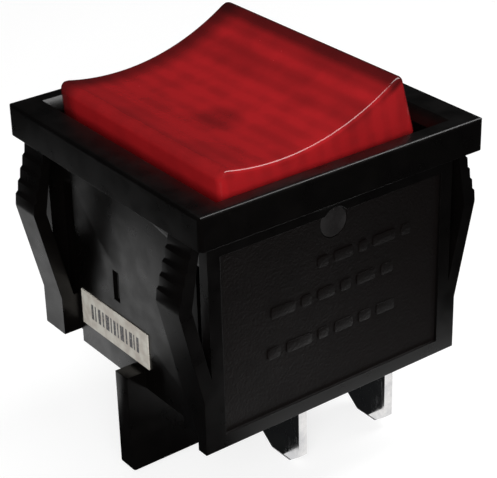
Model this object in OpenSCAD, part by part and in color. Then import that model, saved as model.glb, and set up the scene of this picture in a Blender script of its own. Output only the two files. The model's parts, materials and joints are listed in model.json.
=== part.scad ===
// Illuminated two-pole rocker switch that snaps into a rectangular panel cut-out.
// X is the rocking direction, Y the width, +Z the way the rocker faces.
// The origin is the centre of the bezel's underside, which lies on the panel.
// The rocker is drawn switched on: its -X end pressed, its +X end raised.

/* [Bezel] */
// Length of the bezel along the rocking direction
bezel_l = 25.8; // [24.6:0.1:28]
// Width of the bezel
bezel_w = 25.2; // [24.4:0.1:28]
// Thickness of the bezel above the panel
bezel_t = 2.6; // [2.2:0.1:3.2]
// Radius of the bezel's upright corners
bezel_corner_r = 0.4; // [0.3:0.1:1.5]
// Radius of the bezel's top edge
bezel_edge_r = 0.3; // [0.15:0.05:0.45]
// Length of the mouth at the bezel's top face
mouth_l = 21.2; // [20.6:0.1:22.4]
// Width of the mouth at the bezel's top face
mouth_w = 22.6; // [21.8:0.1:23.2]
// Depth of the bevel round the mouth
mouth_bevel_h = 1; // [0.6:0.1:1.6]

/* [Body] */
// Width of the body, which fills the cut-out
body_w = 22.1; // [21.9:0.1:23]
// Depth of the body below the bezel
body_h = 17.5; // [17.3:0.1:19]
// Length of the body between its two end faces
body_l = 20.8; // [20.8:0.1:21.2]
// Thickness of the side walls
side_wall = 1; // [0.8:0.05:1.1]
// Thickness of the end walls round the mechanism
end_wall = 0.9; // [0.8:0.05:1]
// Thickness of the floor that carries the terminals
floor_t = 1.5; // [1.2:0.1:1.8]
// Length of the side plates beside the latch slots
plate_l = 22.7; // [22.2:0.1:22.9]
// Depth of the moulded field in each side face
field_d = 0.25; // [0.1:0.05:0.35]
// Border round that field
field_border = 1.1; // [0.8:0.1:2]
// Depth of the pockets behind the latch arms
pocket_d = 0.3; // [0.1:0.05:0.35]
// Depth by which the corners stop short of the floor's underside
corner_step = 1.2; // [0.6:0.1:1.6]
// Height of the wall between the poles
divider_h = 6; // [3:0.1:7]
// Thickness of that wall
divider_t = 1.2; // [0.8:0.1:1.6]

/* [Latch arms] */
// Length of the body over its four latch roots
root_l = 24.1; // [23.6:0.1:24.4]
// Width of each latch arm
arm_w = 2.8; // [2:0.1:3.2]
// Length over the latch bulges, which the cut-out squeezes in
bulge_l = 27.7; // [26.8:0.1:28.4]
// Depth of the latch bulge below the panel face
bulge_z = 5.2; // [4.6:0.1:6]
// Depth of the point where the arms leave their roots
root_z = 13; // [12:0.1:13.6]
// Thickness of a latch arm at its bulge
arm_t = 1.1; // [0.8:0.05:1.3]
// Gap between the top of the arms and the bezel
arm_top_gap = 0.25; // [0.2:0.05:0.6]
// Number of teeth that grip panels of different thickness
teeth = 5; // [3:1:6]
// Step of each tooth towards the body
tooth_step = 0.29; // [0.2:0.01:0.32]

/* [Barrier] */
// Depth of the barrier between the poles below the bezel
barrier_h = 24.6; // [21:0.1:26]
// Length of the barrier
barrier_l = 24.2; // [22:0.1:25]
// Thickness of the barrier
barrier_t = 1.6; // [1:0.1:2.4]
// Radius of the barrier's lower corners
barrier_r = 0.4; // [0.3:0.1:2]

/* [Rocker] */
// Length of the rocker at the lens's lower edge
rocker_l = 17.74; // [17:0.02:18.2]
// Length of the lens at its top, where its ends have leaned in
lens_top_l = 16.9; // [16.4:0.1:17.4]
// Width of the lens
lens_w = 21; // [20.4:0.1:21.1]
// Height that the lens's ends would have above the pivot without their rounding
rocker_end_h = 8.46; // [8:0.02:8.8]
// Depth of the hollow in the rocker's top
dish_depth = 1.96; // [1.4:0.02:2.2]
// Radius of the top edges at the lens's two ends
lens_edge_r = 0.7; // [0.3:0.1:1]
// Height of the lens skirt's lower edge above the pivot
skirt_h = 3.1; // [2.9:0.1:3.4]
// Wall of the lens
lens_t = 1.2; // [0.9:0.05:1.3]
// Radius of the lens's upright corners
lens_corner_r = 0.7; // [0.4:0.1:1.2]
// Number of light-spreading flutes under the lens
flutes = 19; // [9:2:23]
// Width and depth of a flute
flute_size = 0.3; // [0.15:0.05:0.4]
// Depth of the pivot below the panel face
pivot_depth = 2.5; // [2.2:0.1:2.8]
// Tilt of the rocker to each side of level
rocker_tilt = 10; // [7:0.5:10]
// Radius of the rocker's pivot pins
pin_r = 1.2; // [0.9:0.05:1.4]
// Gap between the carrier and the side walls of the well
rocker_gap = 0.15; // [0.1:0.01:0.3]
// Gap between the lens and the side walls of its recess
lens_gap = 0.12; // [0.1:0.01:0.2]

/* [Carrier] */
// Height of the carrier's deck above the pivot
deck_h = 2.7; // [2.5:0.1:2.9]
// Thickness of the deck
deck_t = 1.1; // [0.9:0.1:1.3]
// Outside radius of the plunger barrels
barrel_r = 2; // [1.9:0.05:2.1]
// Length of the barrels below the pivot
barrel_h = 6; // [4.5:0.1:6.5]
// Half width of the cheeks that carry the pivot pins
cheek_half = 2.3; // [1.9:0.1:3]
// Thickness of those cheeks
cheek_t = 1; // [0.8:0.1:1.3]
// Wall of the trough that holds the lamp
trough_wall = 0.45; // [0.35:0.05:0.6]
// Length of the neon lamp
lamp_l = 8; // [6.5:0.1:8.5]
// Radius of the neon lamp
lamp_r = 1.8; // [1.4:0.1:1.9]
// Length of the lamp's resistor
resistor_l = 4.4; // [3:0.1:4.6]
// Radius of the resistor
resistor_r = 0.95; // [0.7:0.05:1.3]
// Radius of the lamp's lead wires
lead_r = 0.2; // [0.15:0.05:0.25]
// Length of a lead between the part it serves and its first bend
lead_stub = 0.5; // [0.4:0.05:0.7]

/* [Contacts] */
// Radius of the plungers
plunger_r = 1.3; // [1.1:0.05:1.35]
// Radius of the plunger's nose
nose_r = 0.95; // [0.7:0.05:1]
// Reach of a plunger below the panel face, to the centre of its nose
plunger_reach = 8.7; // [8.4:0.05:8.9]
// Travel of a plunger into its barrel
plunger_travel = 0.6; // [0.4:0.05:0.8]
// Radius of the spring wire
spring_wire_r = 0.16; // [0.12:0.01:0.2]
// Turns of a plunger spring
spring_turns = 5; // [4:1:6]
// Thickness of the see-saw contact strips
strip_t = 0.8; // [0.7:0.05:0.9]
// Width of the see-saw contact strips
strip_w = 3.4; // [2.8:0.1:3.6]
// Reach of a strip towards its fixed contact
strip_reach = 8.9; // [8.7:0.05:9]
// Reach of a strip towards its stop
strip_tail = 4.4; // [3.8:0.1:5]
// Tilt of a strip to each side of level
strip_tilt = 6; // [4.5:0.5:6]
// Distance of the contact buttons from the strip's pivot
button_x = 7.6; // [7.4:0.05:7.65]
// Radius of the contact buttons
button_r = 1.2; // [0.9:0.05:1.3]
// Thickness of the moving contact buttons
button_t = 0.6; // [0.5:0.05:0.7]
// Radius of the shanks that rivet them to the strips
shank_r = 0.75; // [0.6:0.05:0.85]
// Radius of the dome on the fixed contact buttons
dome_r = 3; // [2.5:0.1:4]

/* [Terminals] */
// Width of a terminal tab
tab_w = 4.75; // [4:0.05:5]
// Thickness of a terminal tab
tab_t = 0.8; // [0.7:0.05:0.9]
// Length of a terminal tab below the body
tab_l = 8.5; // [7:0.1:9]
// Taper along a tab at its tip
tip_l = 1; // [0.4:0.1:1.5]
// Taper across a tab at its tip, on each edge
tip_w = 1.3; // [0.4:0.1:1.8]
// Distance between the two rows of tabs
row_pitch = 9.3; // [9.1:0.1:9.5]
// Distance between the common and the load tabs in a row
tab_pitch = 9; // [8.9:0.02:9.02]

/* [Label] */
// Length of the blank label
label_w = 9.4; // [5:0.1:10]
// Height of the blank label
label_h = 3.1; // [2:0.1:4]
// Thickness of the label
label_t = 0.1; // [0.05:0.05:0.2]
// Place of the label's centre along the end face
label_y = 3.15; // [0:0.05:3.3]
// Depth of the label's centre below the bezel
label_z = 13.95; // [12:0.05:14]

/* [Hidden] */
$fn = 64;
// small overlap that makes cuts come out clean
cut = 0.5;
// running clearance between parts that turn or slide on each other
run_gap = 0.05;
// clearance between parts that are fixed together
seat_gap = 0.05;
// gap left between closed contacts and between a plunger's nose and a level strip
touch_gap = 0.06;
// gap between a part and the stop that it rests on
stop_gap = 0.1;
// gap between a lead's end and what it is joined to
lead_gap = 0.05;
// gap between the lamp parts and what they lie under or beside
lamp_gap = 0.3;

// the cavity
well_w = body_w - 2 * side_wall;
well_l = body_l - end_wall;
cavity_l = body_l - 2 * end_wall;
floor_z = floor_t - body_h;
well_floor_z = -pivot_depth - 1;
// each tooth has a short land at its foot and leans in towards its top
tooth_land = 0.2;
tooth_lean = 0.08;
// the moulded mark in the end face: a plain groove
mark_w = 0.8;
mark_h = 2.6;
mark_d = 0.2;
mark_y = 2.6;
mark_z = -10;

// rocker heights and widths, measured from its pivot
rocker_w = well_w - 2 * rocker_gap;
dish_mid_h = rocker_end_h - dish_depth;
dish_r = (pow(lens_top_l / 2, 2) + pow(dish_depth, 2)) / (2 * dish_depth);
dish_centre_h = dish_mid_h + dish_r;
// the round top edges are held this far off the hollow
edge_clear = 0.02;
lens_in_l = rocker_l - 2 * lens_t;
lens_in_w = lens_w - 2 * lens_t;
// the recess that the wide lens dips into at its pressed end
recess_w = lens_w + 2 * lens_gap;
recess_z = skirt_h * cos(rocker_tilt) - rocker_l / 2 * sin(rocker_tilt) - pivot_depth - lens_gap;
deck_l = lens_in_l - 2 * seat_gap;
deck_w = lens_in_w - 2 * seat_gap;
// the cheeks' lower edge lies this far below the pivot
cheek_drop = pin_r + 0.5;

// poles: rows of tabs, barrels and strips
pole_y = row_pitch / 2;

// the roof left over each plunger's bore
roof_t = 0.4;

// lamp trough
trough_in = lamp_r + seat_gap;
lamp_h = dish_mid_h - lens_t - lamp_r - lamp_gap;
trough_floor_h = lamp_h - lamp_r - seat_gap;
lamp_x = -deck_l / 2 + lead_stub;
resistor_x = lamp_x + lamp_l + 2.6 * lead_stub;
// the lamp's glass ends in a pinched stem
stem_l = 0.7;
stem_r = 0.6 * lamp_r;
// end caps of the resistor
cap_l = 1;
body_r = 0.85 * resistor_r;
// the height at which the leads run above the deck, and their ends on the springs
lead_h = deck_h + deck_t + lead_r + lamp_gap;
lead_end_h = deck_h + deck_t - roof_t - lead_gap;
lamp_end = lamp_x + lamp_l + lead_gap;

// plungers and springs
bore_r = plunger_r + run_gap;
bore_top_h = deck_h + deck_t - roof_t;
spring_r = plunger_r - spring_wire_r - stop_gap;
// a spring's room: its closed coils, the plunger's travel and what it is pressed together by
spring_reserve = 1;
spring_l = spring_turns * 2 * spring_wire_r + plunger_travel + spring_reserve;
plunger_top_h = bore_top_h - spring_l - 2 * seat_gap;
// the plunger narrows to its nose over this length
shoulder_l = 0.8;

// see-saw strips: their pivot is the rounded top edge of the common terminal
edge_r = tab_t / 2;
nose_h = pivot_depth + plunger_reach;
strip_z = -nose_h - nose_r - touch_gap - strip_t;

// fixed button height, from the closed strip's underside
button_seat = button_t + touch_gap + dome_r;
dome_z = strip_z - (button_seat + button_x * sin(strip_tilt)) / cos(strip_tilt);
shelf_z = floor_z + tab_t;
// length of the posts that the open strips stop on
stop_l = 1;
// a shank is headed over by this much above the strip
rivet_h = 0.2;
// fork of the common terminal: its ears and the shoulders on the floor
ear_w = 0.6;
ear_h = 0.4;
shoulder_w = 0.7;
// the shelf reaches this far past the fixed button
shelf_lip = 0.3;

// ---------- shared shapes ----------

module rounded_rect(l, w, r) {
    square([l - 2 * r, w], center = true);
    square([l, w - 2 * r], center = true);
    for (sx = [-1, 1]) for (sy = [-1, 1])
        translate([sx * (l / 2 - r), sy * (w / 2 - r)]) circle(r);
}

// a side view with rounded top corners, standing on y = 0
module slab_view(l, h, r) {
    translate([-l / 2, 0]) square([l, h - r]);
    translate([-l / 2 + r, 0]) square([l - 2 * r, h]);
    for (s = [-1, 1]) translate([s * (l / 2 - r), h - r]) circle(r);
}

// a side view drawn in X and Z becomes a solid that is w wide in Y
module along_y(w) rotate([90, 0, 0]) linear_extrude(w, center = true) children();

// a side view drawn in Y and Z becomes a solid that is l long in X
module along_x(l) rotate([90, 0, 90]) linear_extrude(l, center = true) children();

module mirrored_x() {
    children();
    mirror([1, 0, 0]) children();
}

module mirrored_y() {
    children();
    mirror([0, 1, 0]) children();
}

// a bent round wire through a list of points
module wire(points, r) {
    for (i = [0 : len(points) - 2]) {
        step = points[i + 1] - points[i];
        dist = norm(step);
        translate(points[i])
            rotate([0, acos(step[2] / dist), atan2(step[1], step[0])])
                cylinder(r = r, h = dist, $fn = 24);
        // the bead at a bend is a little fatter than the wire
        if (i < len(points) - 2) translate(points[i + 1]) sphere(r * 1.05, $fn = 24);
    }
}

// places what is drawn round a level rocker's pivot into the switched-on pose
module on_rocker() translate([0, 0, -pivot_depth]) rotate([0, -rocker_tilt, 0]) children();

// places what is drawn round a level strip's pivot into the switched-on pose
module on_strip(y) translate([0, y, strip_z]) rotate([0, strip_tilt, 0]) children();

// ---------- housing ----------

module bezel() intersection() {
    linear_extrude(bezel_t) rounded_rect(bezel_l, bezel_w, bezel_corner_r);
    along_y(bezel_w) slab_view(bezel_l, bezel_t, bezel_edge_r);
    along_x(bezel_l) slab_view(bezel_w, bezel_t, bezel_edge_r);
}

// the sloping mouth round the rocker
module mouth_view(top, bottom) {
    low = bezel_t - mouth_bevel_h;
    grow = (top - bottom) / mouth_bevel_h * cut;
    polygon([[-bottom / 2, low], [bottom / 2, low],
             [top / 2 + grow / 2, bezel_t + cut], [-top / 2 - grow / 2, bezel_t + cut]]);
}

module mouth() intersection() {
    along_y(bezel_w) mouth_view(mouth_l, well_l);
    along_x(bezel_l) mouth_view(mouth_w, recess_w);
}

// one latch arm's side view, at the +X end, with its teeth
module arm_view() {
    top = -arm_top_gap;
    out = bulge_l / 2;
    rise = (bulge_z - arm_top_gap) / teeth;
    polygon([[root_l / 2 - arm_t, -root_z - 1], [root_l / 2, -root_z - 1], [root_l / 2, -root_z],
             [out, -bulge_z], for (i = [0 : teeth - 1]) each
             [[out - i * tooth_step, -bulge_z + (i + tooth_land) * rise],
              [out - i * tooth_step - tooth_lean, -bulge_z + (i + 1) * rise]],
             [out - arm_t - (teeth - 2) * tooth_step, top],
             [out - arm_t, -bulge_z], [root_l / 2 - arm_t, -root_z]]);
}

module latch_arms() mirrored_x() mirrored_y() {
    translate([0, body_w / 2 - arm_w / 2, 0]) along_y(arm_w) arm_view();
    translate([body_l / 2 - cut, body_w / 2 - arm_w, corner_step - body_h])
        cube([(root_l - body_l) / 2 + cut, arm_w, body_h - corner_step - root_z]);
}

// the side plates reach past the end faces, beside the slots behind the arms
module side_plates() {
    mirrored_y() translate([-plate_l / 2, body_w / 2 - side_wall, corner_step - body_h])
        cube([plate_l, side_wall, body_h - corner_step + cut]);
    translate([-root_l / 2, -body_w / 2, -body_h]) cube([root_l, side_wall, body_h - root_z]);
}

module barrier() translate([0, 0, -body_h + floor_t]) mirror([0, 0, 1])
    along_y(barrier_t) slab_view(barrier_l, barrier_h - body_h + floor_t, barrier_r);

module body_block() {
    side = body_w / 2 - arm_w;
    difference() {
        translate([-body_l / 2, -body_w / 2, -body_h]) cube([body_l, body_w, body_h + cut]);
        // pockets behind the arms
        mirrored_x() mirrored_y() translate([body_l / 2 - pocket_d, side, -root_z])
            cube([pocket_d + cut, arm_w - side_wall, root_z - pivot_depth - 1]);
        // the far corners stop short of the floor
        mirrored_x() translate([body_l / 2 - end_wall, side, -body_h - cut])
            cube([end_wall + cut, arm_w + cut, corner_step + cut]);
    }
}

// the moulded fields stop lower under the bezel than at the other three sides
module fields() mirrored_y()
    translate([-plate_l / 2 + field_border, body_w / 2 - field_d, field_border - body_h])
        cube([plate_l - 2 * field_border, field_d + cut, body_h - 2.6 * field_border]);

module cavity() {
    translate([-well_l / 2, -well_w / 2, well_floor_z]) cube([well_l, well_w, bezel_t - well_floor_z]);
    translate([-well_l / 2, -recess_w / 2, recess_z])
        cube([well_l, recess_w, bezel_t - mouth_bevel_h + cut - recess_z]);
    translate([-cavity_l / 2, -well_w / 2, floor_z]) cube([cavity_l, well_w, body_h - floor_t]);
}

module pivot_holes() translate([0, 0, -pivot_depth]) rotate([90, 0, 0])
    cylinder(r = pin_r + run_gap, h = body_w + 2 * cut, center = true);

module tab_slots() for (x = [0, tab_pitch]) for (s = [-1, 1])
    translate([x - tab_t / 2 - seat_gap, s * pole_y - tab_w / 2 - seat_gap, -body_h - cut])
        cube([tab_t + 2 * seat_gap, tab_w + 2 * seat_gap, shelf_z + seat_gap + body_h + cut]);

// the wall between the poles and the posts that the open strips stop on
module inner_walls() {
    stop_z = strip_z - strip_tail * sin(strip_tilt) - stop_gap;
    translate([-body_l / 2 + end_wall / 2, -divider_t / 2, floor_z - cut])
        cube([body_l - end_wall, divider_t, cut + divider_h]);
    for (s = [-1, 1]) translate([-strip_tail, s * pole_y - strip_w / 2, floor_z - cut])
        cube([stop_l, strip_w, stop_z - floor_z + cut]);
}

module moulded_mark() translate([-body_l / 2 - cut, mark_y - mark_w / 2, mark_z - mark_h / 2])
    cube([cut + mark_d, mark_w, mark_h]);

module housing() color("#1a1a1c") {
    difference() {
        union() {
            bezel();
            body_block();
            side_plates();
            latch_arms();
            barrier();
        }
        mouth();
        cavity();
        pivot_holes();
        tab_slots();
        fields();
        moulded_mark();
    }
    inner_walls();
}

// ---------- rocker ----------

// the lens seen from the side: its ends lean in, their top edges are round and its top is hollow
module lens_outline() {
    edge_x = lens_top_l / 2 - lens_edge_r;
    edge_h = dish_centre_h - sqrt(pow(dish_r + lens_edge_r + edge_clear, 2) - pow(edge_x, 2));
    meet_x = edge_x * dish_r / (dish_r + lens_edge_r);
    meet_h = dish_centre_h - sqrt(pow(dish_r, 2) - pow(meet_x, 2));
    difference() {
        union() {
            polygon([[-rocker_l / 2, skirt_h], [rocker_l / 2, skirt_h], [lens_top_l / 2, edge_h],
                     [meet_x, meet_h], [-meet_x, meet_h], [-lens_top_l / 2, edge_h]]);
            for (s = [-1, 1]) translate([s * edge_x, edge_h]) circle(lens_edge_r);
        }
        translate([0, dish_centre_h]) circle(dish_r, $fn = 180);
    }
}

// the room under the lens, whose roof keeps the lens's thickness
module lens_room() difference() {
    translate([-lens_in_l / 2, skirt_h - 1]) square([lens_in_l, rocker_end_h - skirt_h + 1]);
    translate([0, dish_centre_h]) circle(dish_r + lens_t, $fn = 180);
}

module rocker_lens() color("#b01218") on_rocker() {
    difference() {
        intersection() {
            along_y(lens_w) lens_outline();
            linear_extrude(rocker_end_h + 1) rounded_rect(rocker_l, lens_w, lens_corner_r);
        }
        along_y(lens_in_w) lens_room();
        lens_flutes();
    }
}

// shallow grooves across the underside of the lens spread the lamp's light
module lens_flutes() {
    pitch = lens_in_l / (flutes + 1);
    for (i = [1 : flutes]) {
        x = -lens_in_l / 2 + i * pitch;
        under = dish_centre_h - sqrt(pow(dish_r + lens_t, 2) - x * x);
        translate([x - flute_size / 2, -lens_in_w / 2, under - flute_size])
            cube([flute_size, lens_in_w, 2 * flute_size]);
    }
}

module carrier_block() {
    // deck inside the lens
    translate([-deck_l / 2, -deck_w / 2, deck_h]) cube([deck_l, deck_w, deck_t]);
    // trough that the lamp lies in
    translate([-deck_l / 2, -trough_in - trough_wall, trough_floor_h - trough_wall])
        cube([deck_l, 2 * (trough_in + trough_wall), deck_h - trough_floor_h + trough_wall + deck_t]);
    // barrels for the plungers
    for (s = [-1, 1]) translate([0, s * pole_y, -barrel_h])
        cylinder(r = barrel_r, h = barrel_h + deck_h + deck_t);
    // cheeks and pivot pins
    mirrored_y() translate([-cheek_half, deck_w / 2 - cheek_t, -cheek_drop]) {
        cube([2 * cheek_half, cheek_t, cheek_drop + deck_h + deck_t]);
        cube([2 * cheek_half, (rocker_w - deck_w) / 2 + cheek_t, cheek_drop + skirt_h - stop_gap]);
    }
}

module rocker_carrier() color("#28282b") on_rocker() {
    difference() {
        carrier_block();
        translate([-deck_l / 2 - cut, -trough_in, trough_floor_h])
            cube([deck_l + 2 * cut, 2 * trough_in, deck_h + deck_t - trough_floor_h + cut]);
        for (s = [-1, 1]) translate([0, s * pole_y, -barrel_h - cut]) {
            cylinder(r = bore_r, h = barrel_h + bore_top_h + cut);
            cylinder(r = lead_r + stop_gap, h = barrel_h + deck_h + deck_t + 2 * cut);
        }
    }
    mirrored_y() translate([0, rocker_w / 2 - cut, 0]) rotate([-90, 0, 0])
        cylinder(r = pin_r, h = (body_w - rocker_w) / 2 - field_d + cut);
}

// ---------- lamp ----------

module neon_lamp() color("#e8a070") on_rocker() translate([lamp_x, 0, lamp_h]) rotate([0, 90, 0])
    rotate_extrude() {
        translate([0, lamp_r]) square([lamp_r, lamp_l - lamp_r - stem_l]);
        intersection() {
            translate([0, lamp_r]) circle(lamp_r);
            square([lamp_r, lamp_r]);
        }
        translate([0, lamp_l - stem_l - cut]) square([stem_r, stem_l + cut]);
    }

module lamp_resistor() color("#c8b28a") on_rocker() translate([resistor_x, 0, lamp_h]) rotate([0, 90, 0])
    rotate_extrude() {
        square([body_r, resistor_l]);
        for (z = [0, resistor_l - cap_l]) translate([0, z]) square([resistor_r, cap_l]);
    }

// from the lamp's stem up over the deck and down through it to pole a's spring
module lamp_lead() color("silver") on_rocker() wire([
    [lamp_end, stem_r / 2, lamp_h], [lamp_end + lead_stub, stem_r / 2, lamp_h],
    [lamp_end + lead_stub, stem_r / 2, lead_h], [2 * lead_stub, pole_y * 0.6, lead_h],
    [0, pole_y, lead_h], [0, pole_y, lead_end_h]], lead_r);

module link_lead() color("silver") on_rocker() wire([
    [lamp_end, -stem_r / 4, lamp_h], [resistor_x - lead_gap, -stem_r / 4, lamp_h]], lead_r);

// from the resistor's far end up over the deck and down through it to pole b's spring
module resistor_lead() color("silver") on_rocker() {
    start = resistor_x + resistor_l + lead_gap;
    wire([[start, 0, lamp_h], [start + lead_stub, 0, lamp_h], [start + lead_stub, 0, lead_h],
          [0, -pole_y, lead_h], [0, -pole_y, lead_end_h]], lead_r);
}

// ---------- plungers ----------

module plunger(y) color("#d8c27a") on_rocker() translate([0, y, 0]) rotate_extrude() {
    base = -plunger_reach;
    translate([0, base + shoulder_l]) square([plunger_r, plunger_top_h - base - shoulder_l]);
    translate([0, base]) square([nose_r, shoulder_l + cut]);
    intersection() {
        translate([0, base]) circle(nose_r);
        translate([0, base - nose_r]) square([nose_r, nose_r + cut]);
    }
}

module plunger_spring(y) color("#a8a8a8") on_rocker() translate([0, y, plunger_top_h + seat_gap]) {
    steps = 12;
    rise = (spring_l - 2 * spring_wire_r - 2 * seat_gap) / (spring_turns * steps);
    for (i = [0 : spring_turns * steps - 1]) hull() for (k = [i, i + 1])
        rotate([0, 0, k * 360 / steps]) translate([spring_r, 0, spring_wire_r + k * rise])
            rotate([90, 0, 0]) cylinder(r = spring_wire_r, h = 0.01, center = true, $fn = 6);
}

module plunger_a() plunger(pole_y);
module plunger_b() plunger(-pole_y);
module plunger_spring_a() plunger_spring(pole_y);
module plunger_spring_b() plunger_spring(-pole_y);

// ---------- contacts ----------

module contact_arm(y) color("#c87848") on_strip(y) difference() {
    linear_extrude(strip_t) {
        translate([-strip_tail, -strip_w / 2]) square([strip_tail + strip_reach - strip_w / 2, strip_w]);
        translate([strip_reach - strip_w / 2, 0]) circle(strip_w / 2);
    }
    rotate([90, 0, 0]) cylinder(r = edge_r + run_gap, h = strip_w + 1, center = true);
    translate([button_x, 0, -cut]) cylinder(r = shank_r + seat_gap, h = strip_t + 2 * cut);
}

module moving_button(y) color("#d8d8d8") on_strip(y) translate([button_x, 0, 0]) {
    translate([0, 0, -button_t]) cylinder(r = button_r, h = button_t);
    translate([0, 0, -button_t]) cylinder(r = shank_r, h = button_t + strip_t + rivet_h);
}

module fixed_button(y) color("#d8d8d8") translate([button_x, y, 0]) intersection() {
    translate([0, 0, dome_z]) sphere(dome_r, $fn = 128);
    translate([0, 0, shelf_z]) cylinder(r = button_r, h = dome_r);
}

module contact_arm_a() contact_arm(pole_y);
module contact_arm_b() contact_arm(-pole_y);
module moving_button_a() moving_button(pole_y);
module moving_button_b() moving_button(-pole_y);
module fixed_button_a() fixed_button(pole_y);
module fixed_button_b() fixed_button(-pole_y);

// ---------- terminals ----------

// the blade that a receptacle slides onto, in Y and Z
module tab_view() {
    low = -body_h - tab_l;
    polygon([[-tab_w / 2, floor_z], [-tab_w / 2, low + tip_l], [-tab_w / 2 + tip_w, low],
             [tab_w / 2 - tip_w, low], [tab_w / 2, low + tip_l], [tab_w / 2, floor_z]]);
}

// a blade, its shoulders on the floor and the fork whose rounded edge the strip rocks on
module common_terminal(y) color("silver") translate([0, y, 0]) {
    fork_w = strip_w + 2 * (ear_w + run_gap);
    along_x(tab_t) {
        tab_view();
        translate([-tab_w / 2 - shoulder_w, floor_z]) square([tab_w + 2 * shoulder_w, tab_t]);
        translate([-fork_w / 2, floor_z]) square([fork_w, strip_z - floor_z]);
        for (s = [-1, 1]) translate([s * (fork_w - ear_w) / 2 - ear_w / 2, floor_z])
            square([ear_w, strip_z - floor_z + strip_t + ear_h]);
    }
    translate([0, 0, strip_z]) rotate([90, 0, 0])
        cylinder(r = edge_r, h = strip_w + 2 * run_gap, center = true);
}

// a blade and the shelf that carries the fixed button
module load_terminal(y) color("silver") translate([tab_pitch, y, 0]) {
    shelf_l = tab_pitch - button_x + button_r + shelf_lip;
    along_x(tab_t) tab_view();
    translate([-shelf_l, -tab_w / 2, floor_z]) cube([shelf_l + tab_t / 2, tab_w, tab_t]);
}

module common_terminal_a() common_terminal(pole_y);
module common_terminal_b() common_terminal(-pole_y);
module load_terminal_a() load_terminal(pole_y);
module load_terminal_b() load_terminal(-pole_y);

// ---------- label ----------

module rating_label() color("#e8e6dc")
    translate([-body_l / 2 - label_t, label_y - label_w / 2, -label_z - label_h / 2])
        cube([label_t, label_w, label_h]);

housing();
rocker_lens();
rocker_carrier();
neon_lamp();
lamp_resistor();
lamp_lead();
link_lead();
resistor_lead();
plunger_a();
plunger_b();
plunger_spring_a();
plunger_spring_b();
contact_arm_a();
contact_arm_b();
moving_button_a();
moving_button_b();
fixed_button_a();
fixed_button_b();
common_terminal_a();
common_terminal_b();
load_terminal_a();
load_terminal_b();
rating_label();
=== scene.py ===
import bpy
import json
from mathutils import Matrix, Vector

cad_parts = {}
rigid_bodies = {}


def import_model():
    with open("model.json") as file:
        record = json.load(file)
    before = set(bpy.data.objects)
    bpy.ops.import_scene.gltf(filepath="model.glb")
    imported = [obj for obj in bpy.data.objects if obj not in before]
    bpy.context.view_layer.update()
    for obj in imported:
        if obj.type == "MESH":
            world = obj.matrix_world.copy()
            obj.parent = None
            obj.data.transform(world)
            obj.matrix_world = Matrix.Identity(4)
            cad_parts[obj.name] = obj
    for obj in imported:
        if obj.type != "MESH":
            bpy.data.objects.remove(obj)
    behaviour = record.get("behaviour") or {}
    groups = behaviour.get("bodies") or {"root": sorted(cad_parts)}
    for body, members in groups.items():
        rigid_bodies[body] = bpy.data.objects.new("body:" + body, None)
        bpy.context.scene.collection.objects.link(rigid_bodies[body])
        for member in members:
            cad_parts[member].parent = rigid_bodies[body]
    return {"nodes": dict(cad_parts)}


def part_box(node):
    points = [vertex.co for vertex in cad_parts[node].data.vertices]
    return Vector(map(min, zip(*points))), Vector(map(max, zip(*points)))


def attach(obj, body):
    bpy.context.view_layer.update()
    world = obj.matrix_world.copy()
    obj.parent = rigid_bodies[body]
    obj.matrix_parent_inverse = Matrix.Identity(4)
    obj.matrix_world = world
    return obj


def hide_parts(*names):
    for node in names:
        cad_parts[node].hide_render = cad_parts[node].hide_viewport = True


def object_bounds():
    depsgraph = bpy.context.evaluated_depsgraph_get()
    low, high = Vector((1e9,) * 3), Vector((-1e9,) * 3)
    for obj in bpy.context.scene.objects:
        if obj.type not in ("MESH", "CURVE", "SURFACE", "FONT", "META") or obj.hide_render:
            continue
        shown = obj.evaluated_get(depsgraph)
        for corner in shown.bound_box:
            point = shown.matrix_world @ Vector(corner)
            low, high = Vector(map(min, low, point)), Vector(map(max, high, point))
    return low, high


for spare in list(bpy.data.objects):
    bpy.data.objects.remove(spare)
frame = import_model()

import json
import math

import bmesh
import numpy as np
from mathutils import Matrix, Vector

bl_info = {
    "name": "Panel rocker switch dressing",
    "version": (1, 0, 0),
    "blender": (4, 5, 0),
    "location": "3D View > Sidebar > Rocker",
    "description": "Dresses a lit panel rocker switch for display",
    "category": "Object",
}

MM = 0.001
DISH_MIDDLE = 6.5
DISH_RADIUS = 19.2
CAD_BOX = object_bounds()
TILT = math.radians(10)
PIVOT = (0.0, 0.0, -2.5 * MM)


# ---------------------------------------------------------------- node trees

def add(tree, kind, inputs=None, **settings):
    """One node in the tree, with its settings, and its inputs set or linked."""
    made = tree.nodes.new(kind)
    for key, value in settings.items():
        setattr(made, key, value)
    for key, value in (inputs or {}).items():
        if isinstance(value, bpy.types.NodeSocket):
            tree.links.new(value, made.inputs[key])
        else:
            made.inputs[key].default_value = value
    return made


def maths(tree, operation, first, second=0.0, clamp=False):
    """The result of one sum, product or other plain operation."""
    return add(tree, "ShaderNodeMath", {0: first, 1: second}, operation=operation, use_clamp=clamp).outputs[0]


def remap(tree, value, low, high, to_low=0.0, to_high=1.0, smooth=True):
    """The value taken from low..high to to_low..to_high, and held at the ends."""
    kind = "SMOOTHSTEP" if smooth else "LINEAR"
    made = add(tree, "ShaderNodeMapRange", {"Value": value, "From Min": low, "From Max": high,
                                            "To Min": to_low, "To Max": to_high}, interpolation_type=kind)
    return made.outputs["Result"]


def blend_colour(tree, share, first, second, kind="MIX"):
    """Two colours mixed by a mask."""
    made = add(tree, "ShaderNodeMix", data_type="RGBA", blend_type=kind)
    for socket, value in ((made.inputs[0], share), (made.inputs[6], first), (made.inputs[7], second)):
        if isinstance(value, bpy.types.NodeSocket):
            tree.links.new(value, socket)
        else:
            socket.default_value = value
    return made.outputs[2]


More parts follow.
